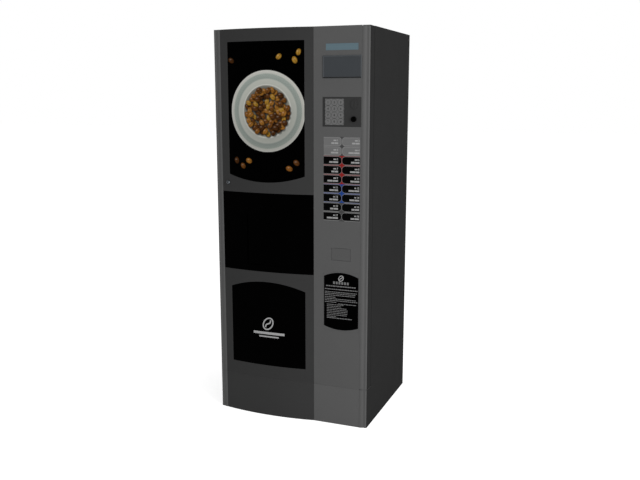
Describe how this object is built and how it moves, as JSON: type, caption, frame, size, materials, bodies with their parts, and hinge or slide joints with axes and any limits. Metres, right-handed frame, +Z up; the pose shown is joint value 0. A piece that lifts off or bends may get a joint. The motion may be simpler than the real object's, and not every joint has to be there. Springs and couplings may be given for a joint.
{
  "type": "hot drinks vending machine",
  "caption": "Full-height hot-drinks vending machine with a hinged bowed front, sliding cup hatch, push keys, keypad, coin entry, coin-return flap and cup carousel.",
  "frame": {"origin": "on the floor under the middle of the machine's outer box", "axes": "+Z up, the front faces -Y, +X to the right as seen from the front"},
  "size_m": [0.762, 0.656, 1.83],
  "materials": {
    "cabinet_paint": "fine-textured dark grey powder coat",
    "fascia_paint": "satin charcoal powder coat",
    "column_paint": "satin mid-grey powder coat",
    "trim_paint": "satin grey coated extrusion",
    "zinc_steel": "zinc-plated sheet steel",
    "stainless": "brushed stainless steel",
    "foot_plastic": "black moulded nylon",
    "gloss_black": "gloss black acrylic",
    "picture_acrylic": "gloss black acrylic with a printed picture behind it",
    "bay_plastic": "black moulded ABS",
    "display_glass": "slate-blue display window",
    "cover_plastic": "dark blue-grey moulded plastic",
    "dark_plastic": "dark grey moulded plastic",
    "keypad_grey": "embossed light grey polyester keypad",
    "button_black": "polished black domed button",
    "bezel_grey": "mid-grey plate with tinted rules",
    "key_grey": "light grey key with plain numbers",
    "key_black": "black key with plain numbers",
    "flap_plastic": "mid-grey moulded plastic",
    "label_black": "black label plate with plain bars",
    "mechanism_plastic": "charcoal moulded housing",
    "lock_chrome": "plated cam lock",
    "turret_plastic": "off-white moulded plastic",
    "cup_paper": "plain cream paper cups",
    "canister_plastic": "milky moulded polypropylene",
    "bowl_plastic": "smoke-grey moulded mixers",
    "grinder_plastic": "black housing with a smoked hopper",
    "brew_plastic": "glass-filled nylon",
    "boiler_jacket": "black foam jacket",
    "bucket_plastic": "grey moulded bucket"
  },
  "bodies": {
    "cabinet": {"left_side_panel": "cabinet_paint", "right_side_panel": "cabinet_paint", "back_panel": "zinc_steel", "top_panel": "cabinet_paint", "base_tray": "zinc_steel", "levelling_feet": "foot_plastic", "kick_plate_left": "fascia_paint", "kick_plate_right": "column_paint", "hinge_plates": "trim_paint", "equipment_shelf": "zinc_steel", "ingredient_canisters": "canister_plastic", "mixing_bowls": "bowl_plastic", "coffee_grinder": "grinder_plastic", "brew_unit": "brew_plastic", "water_boiler": "boiler_jacket", "waste_bucket": "bucket_plastic"},
    "door": {"door_frame": "cabinet_paint", "door_trims": "trim_paint", "upper_fascia": "fascia_paint", "picture_panel": "picture_acrylic", "lower_fascia": "fascia_paint", "lower_panel": "gloss_black", "delivery_surround": "gloss_black", "delivery_bay": "bay_plastic", "drip_grille": "stainless", "dispensing_spouts": "bay_plastic", "control_fascia": "column_paint", "display_window": "display_glass", "payment_cover": "cover_plastic", "coin_plate": "dark_plastic", "keypad_membrane": "keypad_grey", "selection_bezel": "bezel_grey", "coin_return_cup": "bay_plastic", "coin_mechanism": "mechanism_plastic", "instruction_plate": "label_black"},
    "delivery_leaf": {"delivery_door": "gloss_black"},
    "coin_flap": {"coin_return_flap": "flap_plastic"},
    "coin_button": {"coin_return_button": "button_black"},
    "lock": {"lock_barrel": "lock_chrome"},
    "carousel": {"cup_turret": "turret_plastic", "cup_stacks": "cup_paper"},
    "piston": {"brew_piston": "turret_plastic"},
    "key_left_1": {"key_left_1": "key_grey"},
    "key_right_1": {"key_right_1": "key_grey"},
    "key_left_2": {"key_left_2": "key_grey"},
    "key_right_2": {"key_right_2": "key_grey"},
    "key_left_3": {"key_left_3": "key_black"},
    "key_right_3": {"key_right_3": "key_black"},
    "key_left_4": {"key_left_4": "key_black"},
    "key_right_4": {"key_right_4": "key_black"},
    "key_left_5": {"key_left_5": "key_black"},
    "key_right_5": {"key_right_5": "key_black"},
    "key_left_6": {"key_left_6": "key_black"},
    "key_right_6": {"key_right_6": "key_black"},
    "key_left_7": {"key_left_7": "key_black"},
    "key_right_7": {"key_right_7": "key_black"},
    "key_left_8": {"key_left_8": "key_black"},
    "key_right_8": {"key_right_8": "key_black"},
    "key_left_9": {"key_left_9": "key_black"},
    "key_right_9": {"key_right_9": "key_black"}
  },
  "joints": [
    {"name": "door_hinge", "type": "hinge", "parent": "cabinet", "child": "door", "pos_m": [0.369, -0.272, 0.2], "axis": [0, 0, 1], "range_deg": [0, 110]},
    {"name": "delivery_leaf_slide", "type": "slide", "parent": "door", "child": "delivery_leaf", "axis": [0, 0, 1], "range_m": [0, 0.19]},
    {"name": "coin_flap_hinge", "type": "hinge", "parent": "door", "child": "coin_flap", "pos_m": [0.252, -0.3005, 0.846], "axis": [1, 0, 0], "range_deg": [0, 60]},
    {"name": "lock_turn", "type": "hinge", "parent": "door", "child": "lock", "pos_m": [-0.314, -0.3, 1.13], "axis": [0, 1, 0], "range_deg": [0, 90]},
    {"name": "carousel_spin", "type": "hinge", "parent": "door", "child": "carousel", "pos_m": [-0.113, -0.19, 1.3], "axis": [0, 0, 1], "continuous": true},
    {"name": "piston_slide", "type": "slide", "parent": "cabinet", "child": "piston", "axis": [0, 0, 1], "range_m": [0, 0.06]},
    {"name": "coin_button_push", "type": "slide", "parent": "door", "child": "coin_button", "axis": [0, 1, 0], "range_m": [0, 0.004], "stiffness_N_per_m": 400},
    {"name": "key_left_1_push", "type": "slide", "parent": "door", "child": "key_left_1", "axis": [0, 1, 0], "range_m": [0, 0.002], "stiffness_N_per_m": 600},
    {"name": "key_right_1_push", "type": "slide", "parent": "door", "child": "key_right_1", "axis": [0, 1, 0], "range_m": [0, 0.002], "stiffness_N_per_m": 600},
    {"name": "key_left_2_push", "type": "slide", "parent": "door", "child": "key_left_2", "axis": [0, 1, 0], "range_m": [0, 0.002], "stiffness_N_per_m": 600},
    {"name": "key_right_2_push", "type": "slide", "parent": "door", "child": "key_right_2", "axis": [0, 1, 0], "range_m": [0, 0.002], "stiffness_N_per_m": 600},
    {"name": "key_left_3_push", "type": "slide", "parent": "door", "child": "key_left_3", "axis": [0, 1, 0], "range_m": [0, 0.002], "stiffness_N_per_m": 600},
    {"name": "key_right_3_push", "type": "slide", "parent": "door", "child": "key_right_3", "axis": [0, 1, 0], "range_m": [0, 0.002], "stiffness_N_per_m": 600},
    {"name": "key_left_4_push", "type": "slide", "parent": "door", "child": "key_left_4", "axis": [0, 1, 0], "range_m": [0, 0.002], "stiffness_N_per_m": 600},
    {"name": "key_right_4_push", "type": "slide", "parent": "door", "child": "key_right_4", "axis": [0, 1, 0], "range_m": [0, 0.002], "stiffness_N_per_m": 600},
    {"name": "key_left_5_push", "type": "slide", "parent": "door", "child": "key_left_5", "axis": [0, 1, 0], "range_m": [0, 0.002], "stiffness_N_per_m": 600},
    {"name": "key_right_5_push", "type": "slide", "parent": "door", "child": "key_right_5", "axis": [0, 1, 0], "range_m": [0, 0.002], "stiffness_N_per_m": 600},
    {"name": "key_left_6_push", "type": "slide", "parent": "door", "child": "key_left_6", "axis": [0, 1, 0], "range_m": [0, 0.002], "stiffness_N_per_m": 600},
    {"name": "key_right_6_push", "type": "slide", "parent": "door", "child": "key_right_6", "axis": [0, 1, 0], "range_m": [0, 0.002], "stiffness_N_per_m": 600},
    {"name": "key_left_7_push", "type": "slide", "parent": "door", "child": "key_left_7", "axis": [0, 1, 0], "range_m": [0, 0.002], "stiffness_N_per_m": 600},
    {"name": "key_right_7_push", "type": "slide", "parent": "door", "child": "key_right_7", "axis": [0, 1, 0], "range_m": [0, 0.002], "stiffness_N_per_m": 600},
    {"name": "key_left_8_push", "type": "slide", "parent": "door", "child": "key_left_8", "axis": [0, 1, 0], "range_m": [0, 0.002], "stiffness_N_per_m": 600},
    {"name": "key_right_8_push", "type": "slide", "parent": "door", "child": "key_right_8", "axis": [0, 1, 0], "range_m": [0, 0.002], "stiffness_N_per_m": 600},
    {"name": "key_left_9_push", "type": "slide", "parent": "door", "child": "key_left_9", "axis": [0, 1, 0], "range_m": [0, 0.002], "stiffness_N_per_m": 600},
    {"name": "key_right_9_push", "type": "slide", "parent": "door", "child": "key_right_9", "axis": [0, 1, 0], "range_m": [0, 0.002], "stiffness_N_per_m": 600}
  ]
}
